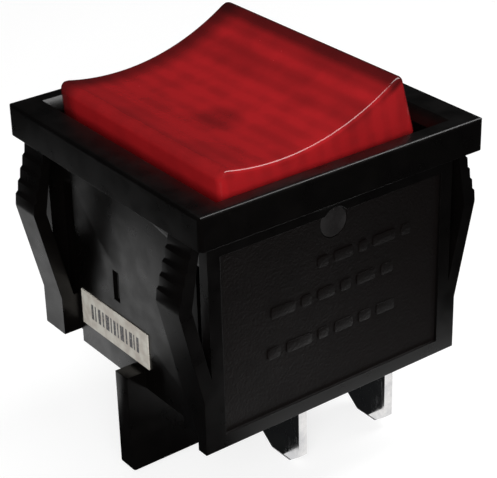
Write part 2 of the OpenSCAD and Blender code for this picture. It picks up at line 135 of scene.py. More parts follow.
def new_group(name, takes, gives):
    """An empty node group with named inputs (name, kind, default) and outputs (name, kind)."""
    tree = bpy.data.node_groups.new(name, "ShaderNodeTree")
    for label, kind, default in takes:
        socket = tree.interface.new_socket(label, in_out="INPUT", socket_type=kind)
        socket.default_value = default
    for label, kind in gives:
        tree.interface.new_socket(label, in_out="OUTPUT", socket_type=kind)
    return tree, tree.nodes.new("NodeGroupInput"), tree.nodes.new("NodeGroupOutput")


def use(tree, group, inputs):
    """A node group placed in a material, with that material's own values."""
    made = tree.nodes.new("ShaderNodeGroup")
    made.node_tree = bpy.data.node_groups[group]
    for key, value in inputs.items():
        if isinstance(value, bpy.types.NodeSocket):
            tree.links.new(value, made.inputs[key])
        else:
            made.inputs[key].default_value = value
    return made


FLOAT, VECTOR, COLOUR = "NodeSocketFloat", "NodeSocketVector", "NodeSocketColor"


def group_grain():
    """Spark-eroded mould grain: small rounded pits over a finer roughness. Scale is pits per millimetre."""
    tree, given, result = new_group("Moulded grain", [("Vector", VECTOR, (0, 0, 0)), ("Scale", FLOAT, 4.0)],
                                    [("Height", FLOAT), ("Gloss", FLOAT)])
    place = add(tree, "ShaderNodeVectorMath", {0: given.outputs["Vector"], "Scale": 1000.0},
                operation="SCALE")
    pits = add(tree, "ShaderNodeTexVoronoi", {"Vector": place.outputs[0], "Scale": given.outputs["Scale"]},
               feature="SMOOTH_F1")
    finer = maths(tree, "MULTIPLY", given.outputs["Scale"], 2.3)
    rough = add(tree, "ShaderNodeTexNoise", {"Vector": place.outputs[0], "Scale": finer, "Detail": 3.0})
    height = maths(tree, "ADD", maths(tree, "MULTIPLY", pits.outputs["Distance"], 0.7),
                   maths(tree, "MULTIPLY", rough.outputs["Fac"], 0.5))
    broad = maths(tree, "MULTIPLY", given.outputs["Scale"], 0.12)
    cloud = add(tree, "ShaderNodeTexNoise", {"Vector": place.outputs[0], "Scale": broad, "Detail": 4.0})
    tree.links.new(height, result.inputs["Height"])
    tree.links.new(remap(tree, cloud.outputs["Fac"], 0.3, 0.7), result.inputs["Gloss"])


def group_specks():
    """Fine settled dust: scattered round specks, more of them where a broad cloud is dense."""
    tree, given, result = new_group("Settled dust", [("Vector", VECTOR, (0, 0, 0)), ("Scale", FLOAT, 2.0),
                                                     ("Amount", FLOAT, 0.5)], [("Mask", FLOAT)])
    place = add(tree, "ShaderNodeVectorMath", {0: given.outputs["Vector"], "Scale": 1000.0},
                operation="SCALE")
    cells = add(tree, "ShaderNodeTexVoronoi", {"Vector": place.outputs[0], "Scale": given.outputs["Scale"]})
    size = add(tree, "ShaderNodeSeparateColor", {"Color": cells.outputs["Color"]})
    reach = maths(tree, "MULTIPLY", remap(tree, size.outputs[0], 0.75, 1.0), 0.16)
    speck = maths(tree, "LESS_THAN", cells.outputs["Distance"], reach)
    cloud = add(tree, "ShaderNodeTexNoise", {"Vector": place.outputs[0], "Scale": 0.35, "Detail": 3.0})
    dense = remap(tree, cloud.outputs["Fac"], 0.4, 0.65)
    mask = maths(tree, "MULTIPLY", maths(tree, "MULTIPLY", speck, dense), given.outputs["Amount"], True)
    tree.links.new(mask, result.inputs["Mask"])


def group_zone():
    """A soft-edged box: 1 inside Centre plus or minus Half, 0 past Softness outside it."""
    tree, given, result = new_group("Box zone", [("Vector", VECTOR, (0, 0, 0)), ("Centre", VECTOR, (0, 0, 0)),
                                                 ("Half", VECTOR, (1, 1, 1)), ("Softness", FLOAT, 0.0002)],
                                    [("Mask", FLOAT)])
    offset = add(tree, "ShaderNodeVectorMath", {0: given.outputs["Vector"], 1: given.outputs["Centre"]},
                 operation="SUBTRACT")
    size = add(tree, "ShaderNodeVectorMath", {0: offset.outputs[0]}, operation="ABSOLUTE")
    past = add(tree, "ShaderNodeVectorMath", {0: size.outputs[0], 1: given.outputs["Half"]},
               operation="SUBTRACT")
    axes = add(tree, "ShaderNodeSeparateXYZ", {0: past.outputs[0]})
    most = maths(tree, "MAXIMUM", maths(tree, "MAXIMUM", axes.outputs[0], axes.outputs[1]), axes.outputs[2])
    share = maths(tree, "DIVIDE", most, given.outputs["Softness"])
    tree.links.new(maths(tree, "SUBTRACT", 1.0, share, True), result.inputs["Mask"])


def group_lines():
    """Drawn or rolled metal: noise pulled out along one way by Stretch, which is finer across than along."""
    tree, given, result = new_group("Drawn lines",
                                    [("Vector", VECTOR, (0, 0, 0)), ("Stretch", VECTOR, (8, 0.4, 8))],
                                    [("Height", FLOAT), ("Tint", FLOAT)])
    place = add(tree, "ShaderNodeVectorMath", {0: given.outputs["Vector"], "Scale": 1000.0},
                operation="SCALE")
    pulled = add(tree, "ShaderNodeVectorMath", {0: place.outputs[0], 1: given.outputs["Stretch"]},
                 operation="MULTIPLY")
    lines = add(tree, "ShaderNodeTexNoise", {"Vector": pulled.outputs[0], "Scale": 1.0, "Detail": 5.0})
    patch = add(tree, "ShaderNodeTexNoise", {"Vector": place.outputs[0], "Scale": 0.6, "Detail": 3.0})
    tree.links.new(lines.outputs["Fac"], result.inputs["Height"])
    tree.links.new(remap(tree, patch.outputs["Fac"], 0.35, 0.7), result.inputs["Tint"])


def group_tilted():
    """Object coordinates turned back into the rocker's own level frame about its pivot."""
    tree, given, result = new_group("Rocker frame", [("Vector", VECTOR, (0, 0, 0))], [("Vector", VECTOR)])
    turned = add(tree, "ShaderNodeVectorRotate", {"Vector": given.outputs["Vector"], "Center": PIVOT,
                                                  "Angle": TILT}, rotation_type="Y_AXIS")
    centred = add(tree, "ShaderNodeVectorMath", {0: turned.outputs[0], 1: PIVOT}, operation="SUBTRACT")
    tree.links.new(centred.outputs[0], result.inputs["Vector"])


def start_material(name, **constants):
    """A material with one Principled shader, and the values that are the same all over it."""
    material = bpy.data.materials.new(name)
    material.use_nodes = True
    tree = material.node_tree
    shader = tree.nodes["Principled BSDF"]
    for key, value in constants.items():
        shader.inputs[key.replace("_", " ")].default_value = value
    place = add(tree, "ShaderNodeTexCoord").outputs["Object"]
    return material, tree, shader, place


def relief(tree, shader, height, depth, strength=1.0):
    """A bump of that depth, in metres, on the shader's normal."""
    bump = add(tree, "ShaderNodeBump", {"Height": height, "Distance": depth, "Strength": strength})
    tree.links.new(bump.outputs["Normal"], shader.inputs["Normal"])


def black_plastic(finish):
    """Glossy black mouldings with a grained field on the two long sides, faint flow marks and a little dust."""
    material, tree, shader, place = start_material("Housing black", IOR=1.5)
    grain = use(tree, "Moulded grain", {"Vector": place, "Scale": 5.0})
    fine = use(tree, "Moulded grain", {"Vector": place, "Scale": 14.0})
    dust = use(tree, "Settled dust", {"Vector": place, "Scale": 2.4, "Amount": 0.25})
    fields = None
    for side in (-1, 1):
        zone = use(tree, "Box zone", {"Vector": place, "Centre": (0, side * 11.2 * MM, -9.08 * MM),
                                      "Half": (10.2 * MM, 0.6 * MM, 7.3 * MM), "Softness": 0.06 * MM}).outputs[0]
        fields = zone if fields is None else maths(tree, "MAXIMUM", fields, zone)
    colour = blend_colour(tree, fields, (*finish.plastic_colour, 1), (*finish.field_colour, 1))
    flow = maths(tree, "MULTIPLY", grain.outputs["Gloss"], 0.4)
    colour = blend_colour(tree, flow, colour, (0.003, 0.0024, 0.0022, 1))
    colour = blend_colour(tree, dust.outputs["Mask"], colour, (0.03, 0.026, 0.023, 1))
    tree.links.new(colour, shader.inputs["Base Color"])
    gloss = maths(tree, "ADD", maths(tree, "MULTIPLY", grain.outputs["Gloss"], 0.1), 0.27)
    gloss = maths(tree, "ADD", gloss, maths(tree, "MULTIPLY", fields, 0.22))
    tree.links.new(maths(tree, "ADD", gloss, maths(tree, "MULTIPLY", dust.outputs["Mask"], 0.3)),
                   shader.inputs["Roughness"])
    height = maths(tree, "ADD", maths(tree, "MULTIPLY", fields, grain.outputs["Height"]),
                   maths(tree, "MULTIPLY", fine.outputs["Height"], 0.06))
    relief(tree, shader, height, 0.03 * MM)
    return material


def red_lens(finish):
    """Deep red moulded lens with painted shade: darker bands along the +X end and the +Y side, a painted shadow of
    the parts under it on the top, walls painted as bright as the top and darker towards their foot, faint lines from
    the flutes under it, glossy skin.
    """
    material, tree, shader, place = start_material("Lens red", IOR=1.49, Coat_Roughness=0.04, Coat_IOR=1.5)
    level = use(tree, "Rocker frame", {"Vector": place}).outputs[0]
    axes = add(tree, "ShaderNodeSeparateXYZ", {0: level})
    along, across, up = axes.outputs
    # Painted shade along the length of the top: darker towards the -X end, dimmer from 3 to 6.4 mm, and a dark band
    # over the last 2 mm at the +X end.
    ramp = add(tree, "ShaderNodeValToRGB", {"Fac": remap(tree, along, -9.2 * MM, 9.2 * MM, smooth=False)})
    ramp.color_ramp.interpolation = "EASE"
    stops = [(-9.2, 0.55), (-8.0, 0.8), (-6.5, 1.0), (1.6, 1.0), (3.0, 0.8), (4.4, 0.78), (5.6, 0.92),
             (6.4, 0.72), (7.3, 0.24), (9.2, 0.16)]
    while len(ramp.color_ramp.elements) < len(stops):
        ramp.color_ramp.elements.new(0.5)
    for element, (spot, level_of) in zip(ramp.color_ramp.elements, stops):
        element.position = (spot + 9.2) / 18.4
        element.color = (level_of, level_of, level_of, 1)
    shade = add(tree, "ShaderNodeSeparateColor", {"Color": ramp.outputs[0]}).outputs[0]
    sag = maths(tree, "DIVIDE", maths(tree, "MULTIPLY", along, along), 2 * DISH_RADIUS * MM)
    # Painted light on the walls: the painted shade is kept to the dished top, so the end and side walls take the full
    # lens colour, as bright as the top.
    top = remap(tree, maths(tree, "SUBTRACT", up, sag), (DISH_MIDDLE - 0.9) * MM, (DISH_MIDDLE - 0.3) * MM)
    shade = maths(tree, "ADD", maths(tree, "MULTIPLY", shade, top), maths(tree, "SUBTRACT", 1.0, top))
    # Painted shade: darker towards the +Y side of the top.
    painted_far_shade = remap(tree, across, 7.6 * MM, 9.8 * MM, 1.0, 0.3)
    cloud = add(tree, "ShaderNodeTexNoise", {"Vector": level, "Scale": 330.0, "Detail": 3.0}).outputs["Fac"]
    cloud = remap(tree, cloud, 0.3, 0.7, 0.85, 1.08)
    # Painted shadow of the parts under the lens: a dark round spot on the top.
    spot = add(tree, "ShaderNodeVectorMath", {0: level, 1: (-2.5 * MM, -2.0 * MM, 6.3 * MM)},
               operation="DISTANCE")
    painted_lamp_shadow = remap(tree, spot.outputs["Value"], 0.8 * MM, 2.8 * MM, 0.62, 1.0)
    flute = add(tree, "ShaderNodeTexWave", {"Vector": level, "Scale": 205.0, "Distortion": 0.4, "Detail": 1.0,
                                            "Detail Scale": 300.0}, bands_direction="X")
    lines = remap(tree, flute.outputs["Fac"], 0.0, 1.0, 0.9, 1.04)
    for part in (painted_far_shade, cloud, painted_lamp_shadow, lines):
        shade = maths(tree, "MULTIPLY", shade, part)
    # Painted shade and painted shadow: the mask blends the lens colour towards its painted shade colour.
    colour = blend_colour(tree, shade, (*finish.lens_painted_shade, 1), (*finish.lens_colour, 1))
    # Painted shade low on the walls: darker towards their foot by the bezel.
    side = maths(tree, "SUBTRACT", 1.0, top)
    foot = remap(tree, up, 2.6 * MM, 4.5 * MM, 0.25, 0.0)
    colour = blend_colour(tree, maths(tree, "MULTIPLY", side, foot), colour, (0.12, 0.006, 0.006, 1))
    tree.links.new(colour, shader.inputs["Base Color"])
    dust = use(tree, "Settled dust", {"Vector": level, "Scale": 2.0, "Amount": 0.3})
    tree.links.new(remap(tree, dust.outputs["Mask"], 0, 1, 0.22, 0.5), shader.inputs["Roughness"])
    tree.links.new(remap(tree, cloud, 0.85, 1.08, 0.8, 0.6), shader.inputs["Coat Weight"])
    fine = use(tree, "Moulded grain", {"Vector": level, "Scale": 3.0})
    skin = maths(tree, "MULTIPLY", fine.outputs["Height"], 0.3)
    relief(tree, shader, maths(tree, "ADD", flute.outputs["Fac"], skin), 0.004 * MM)
    return material


def plain_moulding(name, colour, rough, scale):
    """A smaller inner moulding in one plastic, with its grain, flow marks and dust."""
    material, tree, shader, place = start_material(name, IOR=1.5)
    grain = use(tree, "Moulded grain", {"Vector": place, "Scale": scale})
    dust = use(tree, "Settled dust", {"Vector": place, "Scale": 3.0, "Amount": 0.3})
    lighter = tuple(min(1.0, 1.35 * c + 0.004) for c in colour)
    mixed = blend_colour(tree, grain.outputs["Gloss"], (*colour, 1), (*lighter, 1))
    mixed = blend_colour(tree, dust.outputs["Mask"], mixed, (0.2, 0.19, 0.17, 1))
    tree.links.new(mixed, shader.inputs["Base Color"])
    spread = remap(tree, grain.outputs["Gloss"], 0, 1, rough - 0.07, rough + 0.07)
    tree.links.new(spread, shader.inputs["Roughness"])
    relief(tree, shader, grain.outputs["Height"], 0.012 * MM)
    return material


def metal(name, bright, dull, rough, stretch, depth=0.004):
    """A metal with drawn or rolled lines, duller in patches where it has tarnished."""
    material, tree, shader, place = start_material(name, Metallic=1.0)
    lines = use(tree, "Drawn lines", {"Vector": place, "Stretch": stretch})
    dust = use(tree, "Settled dust", {"Vector": place, "Scale": 3.5, "Amount": 0.35})
    colour = blend_colour(tree, lines.outputs["Tint"], (*bright, 1), (*dull, 1))
    colour = blend_colour(tree, dust.outputs["Mask"], colour, (*[0.45 * c for c in dull], 1))
    tree.links.new(colour, shader.inputs["Base Color"])
    spread = remap(tree, lines.outputs["Height"], 0.3, 0.7, rough - 0.06, rough + 0.08)
    tree.links.new(maths(tree, "ADD", spread, maths(tree, "MULTIPLY", lines.outputs["Tint"], 0.08)),
                   shader.inputs["Roughness"])
    relief(tree, shader, lines.outputs["Height"], depth * MM)
    return material


def lamp_glass(finish):
    """Clear glass with a warm orange cast, a little wavy from the drawing of the tube."""
    material, tree, shader, place = start_material("Lamp glass", IOR=1.47, Transmission_Weight=0.9)
    lines = use(tree, "Drawn lines", {"Vector": place, "Stretch": (0.3, 2.0, 2.0)})
    colour = blend_colour(tree, lines.outputs["Tint"], (*finish.glass_colour, 1), (0.95, 0.8, 0.66, 1))
    tree.links.new(colour, shader.inputs["Base Color"])
    tree.links.new(remap(tree, lines.outputs["Height"], 0.3, 0.7, 0.02, 0.09), shader.inputs["Roughness"])
    relief(tree, shader, lines.outputs["Height"], 0.01 * MM)
    return material


def resistor_body():
    """Tan lacquer with four coloured rings round it, slightly uneven as dipped parts are."""
    material, tree, shader, place = start_material("Resistor lacquer", IOR=1.5)
    level = use(tree, "Rocker frame", {"Vector": place}).outputs[0]
    low, high = (Vector(c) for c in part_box("lamp_resistor"))
    lengths = high - low
    longest = max(range(3), key=lambda k: lengths[k])
    spot = add(tree, "ShaderNodeSeparateXYZ", {0: place}).outputs[longest]
    grain = use(tree, "Moulded grain", {"Vector": level, "Scale": 6.0})
    colour = blend_colour(tree, grain.outputs["Gloss"], (0.5, 0.36, 0.2, 1), (0.6, 0.46, 0.29, 1))
    rings = [(0.22, (0.14, 0.05, 0.02, 1)), (0.4, (0.02, 0.02, 0.02, 1)), (0.58, (0.55, 0.28, 0.02, 1)),
             (0.8, (0.5, 0.34, 0.08, 1))]
    for share, paint in rings:
        middle = low[longest] + share * lengths[longest]
        gap = maths(tree, "ABSOLUTE", maths(tree, "SUBTRACT", spot, middle))
        colour = blend_colour(tree, remap(tree, gap, 0.16 * MM, 0.22 * MM, 1.0, 0.0), colour, paint)
    tree.links.new(colour, shader.inputs["Base Color"])
    tree.links.new(remap(tree, grain.outputs["Gloss"], 0, 1, 0.25, 0.4), shader.inputs["Roughness"])
    relief(tree, shader, grain.outputs["Height"], 0.01 * MM)
    return material


def label_paper(finish):
    """Off-white paper with plain printed bars and fibres, the ink worn in patches."""
    material, tree, shader, place = start_material("Label paper", IOR=1.45)
    low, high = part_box("rating_label")
    fibre = use(tree, "Moulded grain", {"Vector": place, "Scale": 9.0})
    colour = blend_colour(tree, fibre.outputs["Gloss"], (*finish.label_colour, 1), (0.6, 0.58, 0.52, 1))
    wide, tall = high[1] - low[1], high[2] - low[2]
    bars = None
    for y0, y1, z0, z1 in LABEL_BARS:
        zone = use(tree, "Box zone", {
            "Vector": place,
            "Centre": (low[0], low[1] + wide * (y0 + y1) / 2, low[2] + tall * (z0 + z1) / 2),
            "Half": (1 * MM, wide * (y1 - y0) / 2, tall * (z1 - z0) / 2), "Softness": 0.05 * MM}).outputs[0]
        bars = zone if bars is None else maths(tree, "MAXIMUM", bars, zone)
    wear = add(tree, "ShaderNodeTexNoise", {"Vector": place, "Scale": 6000.0, "Detail": 3.0}).outputs["Fac"]
    ink = maths(tree, "MULTIPLY", bars, remap(tree, wear, 0.3, 0.55, 0.55, 0.95))
    colour = blend_colour(tree, ink, colour, (0.05, 0.05, 0.06, 1))
    tree.links.new(colour, shader.inputs["Base Color"])
    tree.links.new(remap(tree, ink, 0, 1, 0.75, 0.5), shader.inputs["Roughness"])
    relief(tree, shader, fibre.outputs["Height"], 0.01 * MM)
    return material


LABEL_BARS = [(y, y + w, 0.3, 0.72) for y, w in (
    (0.14, 0.03), (0.2, 0.015), (0.235, 0.04), (0.31, 0.02), (0.36, 0.05), (0.44, 0.015), (0.48, 0.03), (0.54, 0.015),
    (0.58, 0.05), (0.66, 0.02), (0.71, 0.035), (0.78, 0.015), (0.82, 0.03))]


# ---------------------------------------------------------------- meshes

def link_piece(name, mesh, material, body, replaced=(), smooth=35.0):
    """An object for a finished mesh, with its material, riding on a body and standing for CAD nodes."""
    piece = bpy.data.objects.new(name, mesh)
    bpy.context.scene.collection.objects.link(piece)
    mesh.materials.clear()
    mesh.materials.append(bpy.data.materials[material])
    mesh.shade_smooth()
    mesh.set_sharp_from_angle(angle=math.radians(smooth))
    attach(piece, body)
    if replaced:
        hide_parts(*replaced)
    return piece


def mesh_from(name, points, faces):
    """A mesh from an (n, 3) array of points and a list of face corner lists."""
    mesh = bpy.data.meshes.new(name)
    mesh.from_pydata(points.tolist(), [], faces)
    mesh.update()
    mesh.validate()
    return mesh


def ring_faces(rows, count, start=0):
    """Quads between neighbouring closed rings of points, as one array."""
    row = np.arange(rows - 1)[:, None] * count + start
    here = np.arange(count)[None, :]
    after = (here + 1) % count
    return np.stack([row + here, row + after, row + count + after, row + count + here], -1).reshape(-1, 4)


def rounded_ring(half_x, half_y, radius, corner=10, side_x=48, side_y=30):
    """Closed loop round a rectangle with rounded corners: quarter circles radius (cos t, sin t) about the four
    corner centres, joined by evenly spaced points along the straight sides."""
    t = np.linspace(0, math.pi / 2, corner)
    loops = []
    centres = [(1, 1), (-1, 1), (-1, -1), (1, -1)]
    for k, (sx, sy) in enumerate(centres):
        arc = np.stack([np.cos(t + k * math.pi / 2), np.sin(t + k * math.pi / 2)], -1) * radius
        arc += np.array([sx * (half_x - radius), sy * (half_y - radius)])
        nx, ny = centres[(k + 1) % 4]
        step = np.linspace(0, 1, (side_x if k % 2 == 0 else side_y) + 2)[1:-1, None]
        end = np.array([math.cos((k + 1) * math.pi / 2), math.sin((k + 1) * math.pi / 2)]) * radius
        begin = end + np.array([nx * (half_x - radius), ny * (half_y - radius)])
        loops += [arc, arc[-1] * (1 - step) + begin * step]
    return np.concatenate(loops)


def refined(node, name, material, body, width, segments=2, angle=32.0):
    """A copy of a CAD solid with its loose triangles merged, its flat faces rejoined and its sharp edges rounded."""
    mesh = frame["nodes"][node].data.copy()
    mesh.name = name
    work = bmesh.new()
    work.from_mesh(mesh)
    bmesh.ops.remove_doubles(work, verts=work.verts, dist=1e-6)
    bmesh.ops.dissolve_limit(work, angle_limit=math.radians(0.4), use_dissolve_boundaries=False,
                             verts=work.verts, edges=work.edges)
    work.to_mesh(mesh)
    work.free()
    piece = link_piece(name, mesh, material, body, (node,))
    if width:
        rounded = piece.modifiers.new("Rounded edges", "BEVEL")
        rounded.width = width
        rounded.segments = segments
        rounded.limit_method = "ANGLE"
        rounded.angle_limit = math.radians(angle)
        rounded.harden_normals = False
    return piece


def outward(loop):
    """Unit normals of a closed counter-clockwise loop, from the line between each point's neighbours."""
    run = np.roll(loop, -1, 0) - np.roll(loop, 1, 0)
    normal = np.stack([run[:, 1], -run[:, 0]], -1)
    return normal / np.linalg.norm(normal, axis=1, keepdims=True)


def lens_mesh(sizes):
    """The lens as one closed shell. Rings of a rounded rectangle are carried along a profile: from the middle of the
    dished top outwards, round the top edge, down the leaning wall, across the rim, up the inner wall and back over
    the inner roof to its middle. The top's height at x is middle + R - sqrt(R^2 - x^2), level past the crest. Round
    the edge a point lies e (1 - sin t) in from the outline and e (1 - cos t) down, where e goes from the side edge's
    radius to the end edge's with the square of the outline's normal. The inner roof is the top less the thickness,
    with a cosine added for the flutes. The whole is then turned about the pivot to its rest tilt."""
    half_y, top_x, foot_x = sizes.lens_width / 2, sizes.lens_top_length / 2, sizes.lens_length / 2
    wall, radius, low, bend = sizes.lens_wall, sizes.lens_corner, sizes.lens_foot, sizes.dish_radius
    crest = top_x - sizes.lens_end_edge - 0.15 * MM

    def dish(x):
        held = np.minimum(np.abs(x), crest)
        return sizes.dish_middle + bend - np.sqrt(bend ** 2 - held ** 2)

    rings, heights = [], []

    def carry(loop, height):
        rings.append(loop)
        heights.append(height)

    brim = rounded_ring(top_x, half_y, radius)
    normal = outward(brim)
    edge = sizes.lens_side_edge + (sizes.lens_end_edge - sizes.lens_side_edge) * normal[:, 0] ** 2
    inner = brim - normal * edge[:, None]
    for scale in np.linspace(0, 1, 30)[1:]:
        carry(inner * scale, dish(inner[:, 0] * scale))
    for turn in np.linspace(0, math.pi / 2, 9)[1:]:
        loop = brim - normal * (edge * (1 - math.sin(turn)))[:, None]
        carry(loop, dish(loop[:, 0]) - edge * (1 - math.cos(turn)))
    brow = heights[-1]
    for share in (0.25, 0.5, 0.75, 1.0):
        loop = rounded_ring(top_x + (foot_x - top_x) * share, half_y, radius)
        carry(loop, brow * (1 - share) + (low + 0.1 * MM) * share)
    foot = rounded_ring(foot_x, half_y, radius)
    carry(foot - outward(foot) * 0.1 * MM, low + 0 * brow)
    room = rounded_ring(foot_x - wall, half_y - wall, 0.3 * MM)
    carry(room, low + 0 * brow)
    ceiling = dish(room[:, 0]) - wall - 0.2 * MM
    for share in (0.03, 0.5, 0.97):
        carry(room, ceiling * share + low * (1 - share))
    pitch = 2 * (foot_x - wall) / 20

    def roof(x):
        return dish(x) - wall + 0.12 * MM * np.cos(2 * math.pi * x / pitch)

    for scale in np.linspace(1, 0, 30)[:-1]:
        loop = (room - outward(room) * 0.15 * MM) * scale
        carry(loop, roof(loop[:, 0]))
    count = len(brim)
    flat = np.concatenate([np.column_stack([r, h]) for r, h in zip(rings, heights)])
    points = np.concatenate([flat, [[0, 0, dish(0.0)], [0, 0, roof(0.0)]]])
    x, z = points[:, 0].copy(), points[:, 2].copy()
    points[:, 0] = x * math.cos(TILT) - z * math.sin(TILT)
    points[:, 2] = x * math.sin(TILT) + z * math.cos(TILT) + PIVOT[2]
    quads = ring_faces(len(rings), count)[:, ::-1]
    top, bottom = len(flat), len(flat) + 1
    here = np.arange(count)
    after = (here + 1) % count
    last = (len(rings) - 1) * count
    fans = np.concatenate([np.stack([here * 0 + top, here, after], -1),
                           np.stack([here * 0 + bottom, after + last, here + last], -1)])
    return mesh_from("lens_shell", points, quads.tolist() + fans.tolist())


def bar_mesh(name, bars, depth, edge):
    """Small raised bars on a wall: each is a rectangle carried outwards with its rim rounded over, as a grid of
    four rings and a closed top. bars is (centre x, centre z, half x, half z) rows, and y runs from the wall out."""
    points, faces = [], []
    for cx, cz, hx, hz in bars:
        start = sum(len(p) for p in points)
        rows = [(0.0, 0.0), (0.0, 0.5), (edge * 0.3, 0.85), (edge, 1.0)]
        loops = []
        for inset, share in rows:
            loop = rounded_ring(hx - inset, hz - inset, max(min(hx, hz) * 0.5 - inset, 0.01 * MM), 4, 1, 1)
            loops.append(np.column_stack([loop[:, 0] + cx, np.full(len(loop), share * depth), loop[:, 1] + cz]))
        count = len(loops[0])
        faces += ring_faces(len(rows), count, start).tolist()
        faces.append((start + (len(rows) - 1) * count + np.arange(count))[::1].tolist())
        faces.append((start + np.arange(count))[::-1].tolist())
        points.append(np.concatenate(loops))
    return np.concatenate(points), faces


# ---------------------------------------------------------------- settings

def length(name, description, default):
    """A length setting, in metres."""
    return bpy.props.FloatProperty(name=name, description=description, default=default * MM, min=0, unit="LENGTH",
                                   precision=5)


class RockerSizes(bpy.types.PropertyGroup):
    lens_length: length("Lens length", "Along the rocking direction, at its foot", 17.74)
    lens_top_length: length("Lens top length", "Along the rocking direction, at its top", 16.9)
    lens_width: length("Lens width", "Across the rocking direction", 21.0)
    lens_wall: length("Lens wall", "Thickness of the lens", 1.2)
    lens_end_edge: length("End edge", "Rounding of the top edge at the two ends", 0.7)
    lens_side_edge: length("Side edge", "Rounding of the top edge at the two sides", 0.3)
    lens_corner: length("Lens corner", "Rounding of the upright edges", 0.7)
    lens_foot: length("Lens foot", "Height of the lower rim over the pivot", 3.1)
    dish_middle: length("Dish middle", "Height of the dish's middle over the pivot", DISH_MIDDLE)
    dish_radius: length("Dish radius", "Radius of the dished top", DISH_RADIUS)
    edge_rounding: length("Edge rounding", "Rounding of the housing's sharp edges", 0.09)


class RockerFinish(bpy.types.PropertyGroup):
    plastic_colour: bpy.props.FloatVectorProperty(name="Plastic", description="Housing", subtype="COLOR", size=3,
                                                  min=0, max=1, default=(0.0016, 0.0013, 0.0012))
    field_colour: bpy.props.FloatVectorProperty(name="Side field", description="Grained side field", subtype="COLOR",
                                                size=3, min=0, max=1, default=(0.0042, 0.003, 0.0028))
    lens_colour: bpy.props.FloatVectorProperty(name="Lens", description="Lens where it is brightest", subtype="COLOR",
                                               size=3, min=0, max=1, default=(0.33, 0.01, 0.0125))
    # Colour of the lens's painted shade and painted shadow.
    lens_painted_shade: bpy.props.FloatVectorProperty(name="Lens shade", description="Painted shade and shadow of the lens", subtype="COLOR",
                                             size=3, min=0, max=1, default=(0.012, 0.003, 0.003))
    glass_colour: bpy.props.FloatVectorProperty(name="Lamp glass", description="Cast of the glass", subtype="COLOR",
                                                size=3, min=0, max=1, default=(0.95, 0.68, 0.45))
    label_colour: bpy.props.FloatVectorProperty(name="Label", description="Paper", subtype="COLOR", size=3, min=0,
                                                max=1, default=(0.47, 0.43, 0.38))


def dress(nodes, material):
    """Gives CAD solids a material by their slots, leaving their shapes alone."""
    for node in nodes:
        for slot in frame["nodes"][node].material_slots:
            slot.material = bpy.data.materials[material]


# ---------------------------------------------------------------- operators

class ROCKER_OT_materials(bpy.types.Operator):
    """Builds the shared node groups and the finishes"""
    bl_idname = "rocker.materials"
    bl_label = "Finishes"

    def execute(self, context):
        for build in (group_grain, group_specks, group_zone, group_lines, group_tilted):
            build()
        finish = context.scene.rocker_finish
        black_plastic(finish)
        red_lens(finish)
        plain_moulding("Carrier plastic", (0.011, 0.01, 0.01), 0.38, 5.0)
        lamp_glass(finish)
        resistor_body()
        metal("Lead wire", (0.72, 0.7, 0.66), (0.42, 0.4, 0.37), 0.3, (3, 3, 3))
        metal("Plunger brass", (0.78, 0.6, 0.28), (0.5, 0.36, 0.15), 0.24, (0.6, 0.6, 9))
        metal("Spring steel", (0.55, 0.55, 0.56), (0.3, 0.3, 0.31), 0.28, (2, 2, 2))
        metal("Copper strip", (0.82, 0.44, 0.28), (0.5, 0.24, 0.14), 0.26, (0.5, 8, 8))
        metal("Silver button", (0.85, 0.84, 0.81), (0.6, 0.57, 0.5), 0.22, (4, 4, 0.8))
        metal("Tinned tab", (0.78, 0.77, 0.76), (0.6, 0.6, 0.61), 0.15, (6, 6, 0.5), 0.003)
        label_paper(finish)
        return {"FINISHED"}


class ROCKER_OT_housing(bpy.types.Operator):
    """Dresses the housing: rounded edges over its moulded shape"""
    bl_idname = "rocker.housing"
    bl_label = "Housing"

    def execute(self, context):
        sizes = context.scene.rocker_sizes
        refined("housing", "housing_moulding", "Housing black", "base", sizes.edge_rounding)
        return {"FINISHED"}


class ROCKER_OT_rating_bars(bpy.types.Operator):
    """Adds the plain raised bars in the grained side field, where a maker would mould its ratings"""
    bl_idname = "rocker.rating_bars"
    bl_label = "Raised bars"

    def execute(self, context):
        rows = [(-1.2, (0.5, 0.9, 0.4, 1.1, 0.5)), (-3.9, (1.1, 0.5, 0.8, 0.5, 0.9, 0.6)),
                (-7.2, (0.6, 1.2, 0.5, 0.9, 0.6, 0.9))]
        bars = []
        for row, (z, widths) in enumerate(rows):
            x = (-1.5, -5.8, -6.2)[row] * MM
            for wide in widths:
                bars.append((x + wide * MM, (z - 4.2) * MM, wide * MM, 0.45 * MM))
                x += (2 * wide + 0.55) * MM
        points, faces = bar_mesh("bars", bars, 0.07 * MM, 0.05 * MM)
        points[:, 1] = -10.8 * MM - points[:, 1]
        mesh = mesh_from("rating_bars", points, faces)
        link_piece("rating_bars", mesh, "Housing black", "base")
        return {"FINISHED"}


class ROCKER_OT_lens(bpy.types.Operator):
    """Builds the red lens of the rocker"""
    bl_idname = "rocker.lens"
    bl_label = "Lens"

    def execute(self, context):
        mesh = lens_mesh(context.scene.rocker_sizes)
        link_piece("lens_shell", mesh, "Lens red", "rocker", ("rocker_lens",), 40.0)
        return {"FINISHED"}


class ROCKER_OT_carrier(bpy.types.Operator):
    """Dresses the carrier under the lens"""
    bl_idname = "rocker.carrier"
    bl_label = "Carrier"

    def execute(self, context):
        refined("rocker_carrier", "carrier_moulding", "Carrier plastic", "rocker",
                0.05 * MM, 1)
        return {"FINISHED"}


class ROCKER_OT_lamp(bpy.types.Operator):
    """Dresses the lamp, its resistor and their leads"""
    bl_idname = "rocker.lamp"
    bl_label = "Lamp"

    def execute(self, context):
        dress(["neon_lamp"], "Lamp glass")
        dress(["lamp_resistor"], "Resistor lacquer")
        dress(["lamp_lead", "link_lead", "resistor_lead"], "Lead wire")
        return {"FINISHED"}


